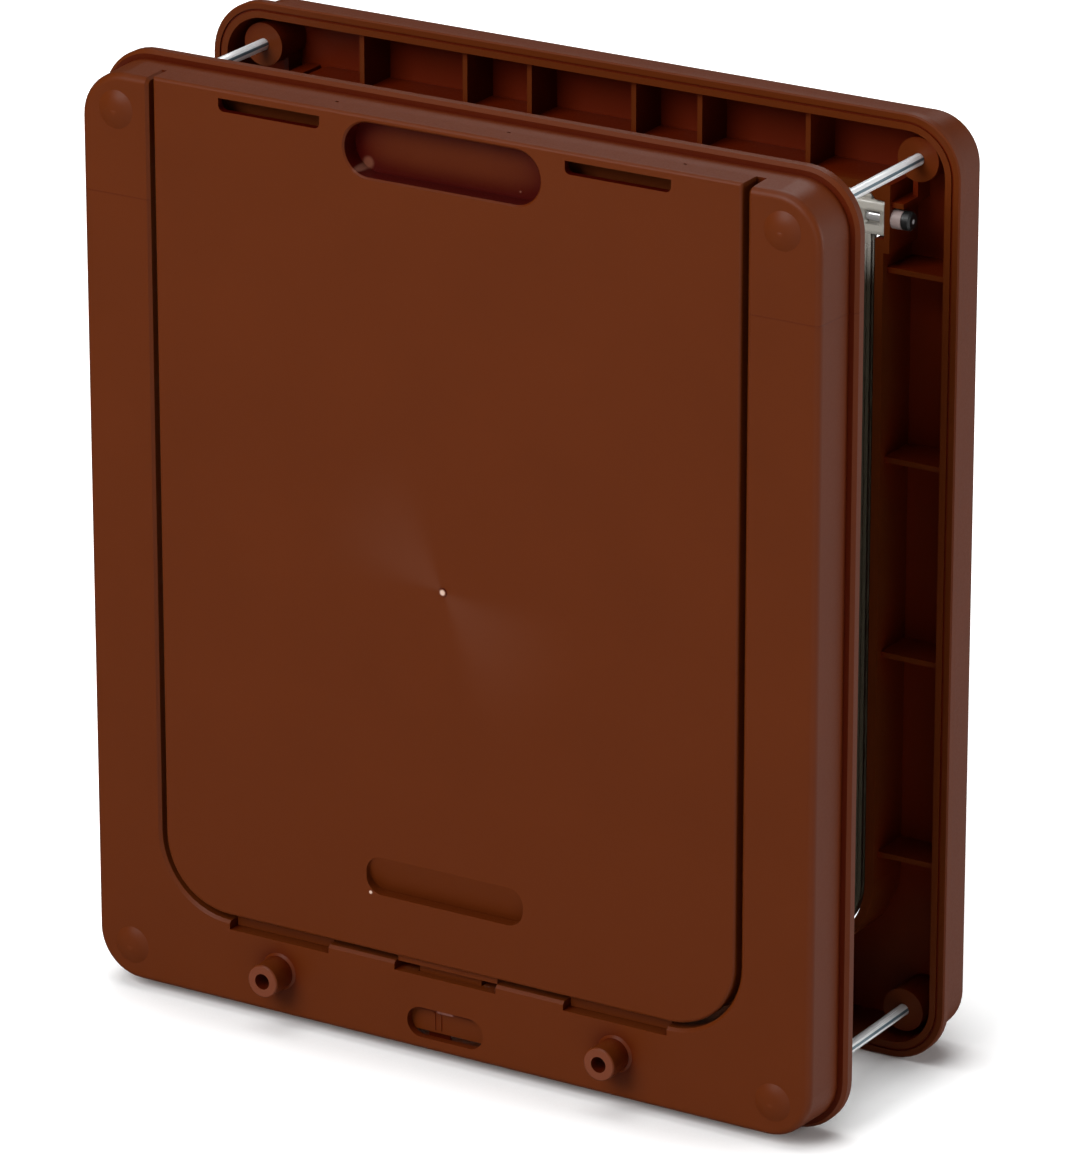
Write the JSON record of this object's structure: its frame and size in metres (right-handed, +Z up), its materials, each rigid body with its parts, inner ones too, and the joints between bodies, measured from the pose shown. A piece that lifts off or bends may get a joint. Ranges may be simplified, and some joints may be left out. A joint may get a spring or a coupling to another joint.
{
  "type": "dog flap",
  "caption": "Framed pet door for a solid door: moulded inner and outer frames on long bolts, a clear swinging flap and a lift-out closing panel held by a slide lock.",
  "frame": {"origin": "on the surface that the frames stand on, under the middle of the overall box", "axes": "+X to the right seen from indoors, +Y from the indoor face to the outdoor face, +Z up"},
  "size_m": [0.286, 0.1164, 0.329],
  "materials": {
    "brown_plastic": "satin moulded brown",
    "panel_plastic": "satin moulded brown",
    "clear_plastic": "clear, slightly grey-green",
    "magnet": "sintered grey",
    "plated_steel": "bright zinc plating",
    "pin_steel": "ground bright",
    "pale_nylon": "satin",
    "black_plastic": "satin"
  },
  "bodies": {
    "frame": {"front_frame": "brown_plastic", "rear_frame": "brown_plastic", "frame_bolts": "plated_steel", "hinge_bush_left": "pale_nylon", "hinge_bush_right": "pale_nylon", "sill_magnet": "magnet"},
    "flap": {"flap": "clear_plastic", "hinge_pin_left": "pin_steel", "hinge_pin_right": "pin_steel", "pin_cap_left": "black_plastic", "pin_cap_right": "black_plastic", "flap_magnet": "magnet"},
    "panel": {"closing_panel": "panel_plastic"},
    "lock": {"lock_slider": "panel_plastic"}
  },
  "joints": [
    {"name": "flap_swing", "type": "hinge", "parent": "frame", "child": "flap", "pos_m": [0, 0.03975, 0.292], "axis": [1, 0, 0], "range_deg": [-15, 90]},
    {"name": "panel_lift", "type": "slide", "parent": "frame", "child": "panel", "axis": [0, 0, 1], "range_m": [0, 0.0074]},
    {"name": "lock_slide", "type": "slide", "parent": "frame", "child": "lock", "axis": [1, 0, 0], "range_m": [0, 0.007]}
  ]
}
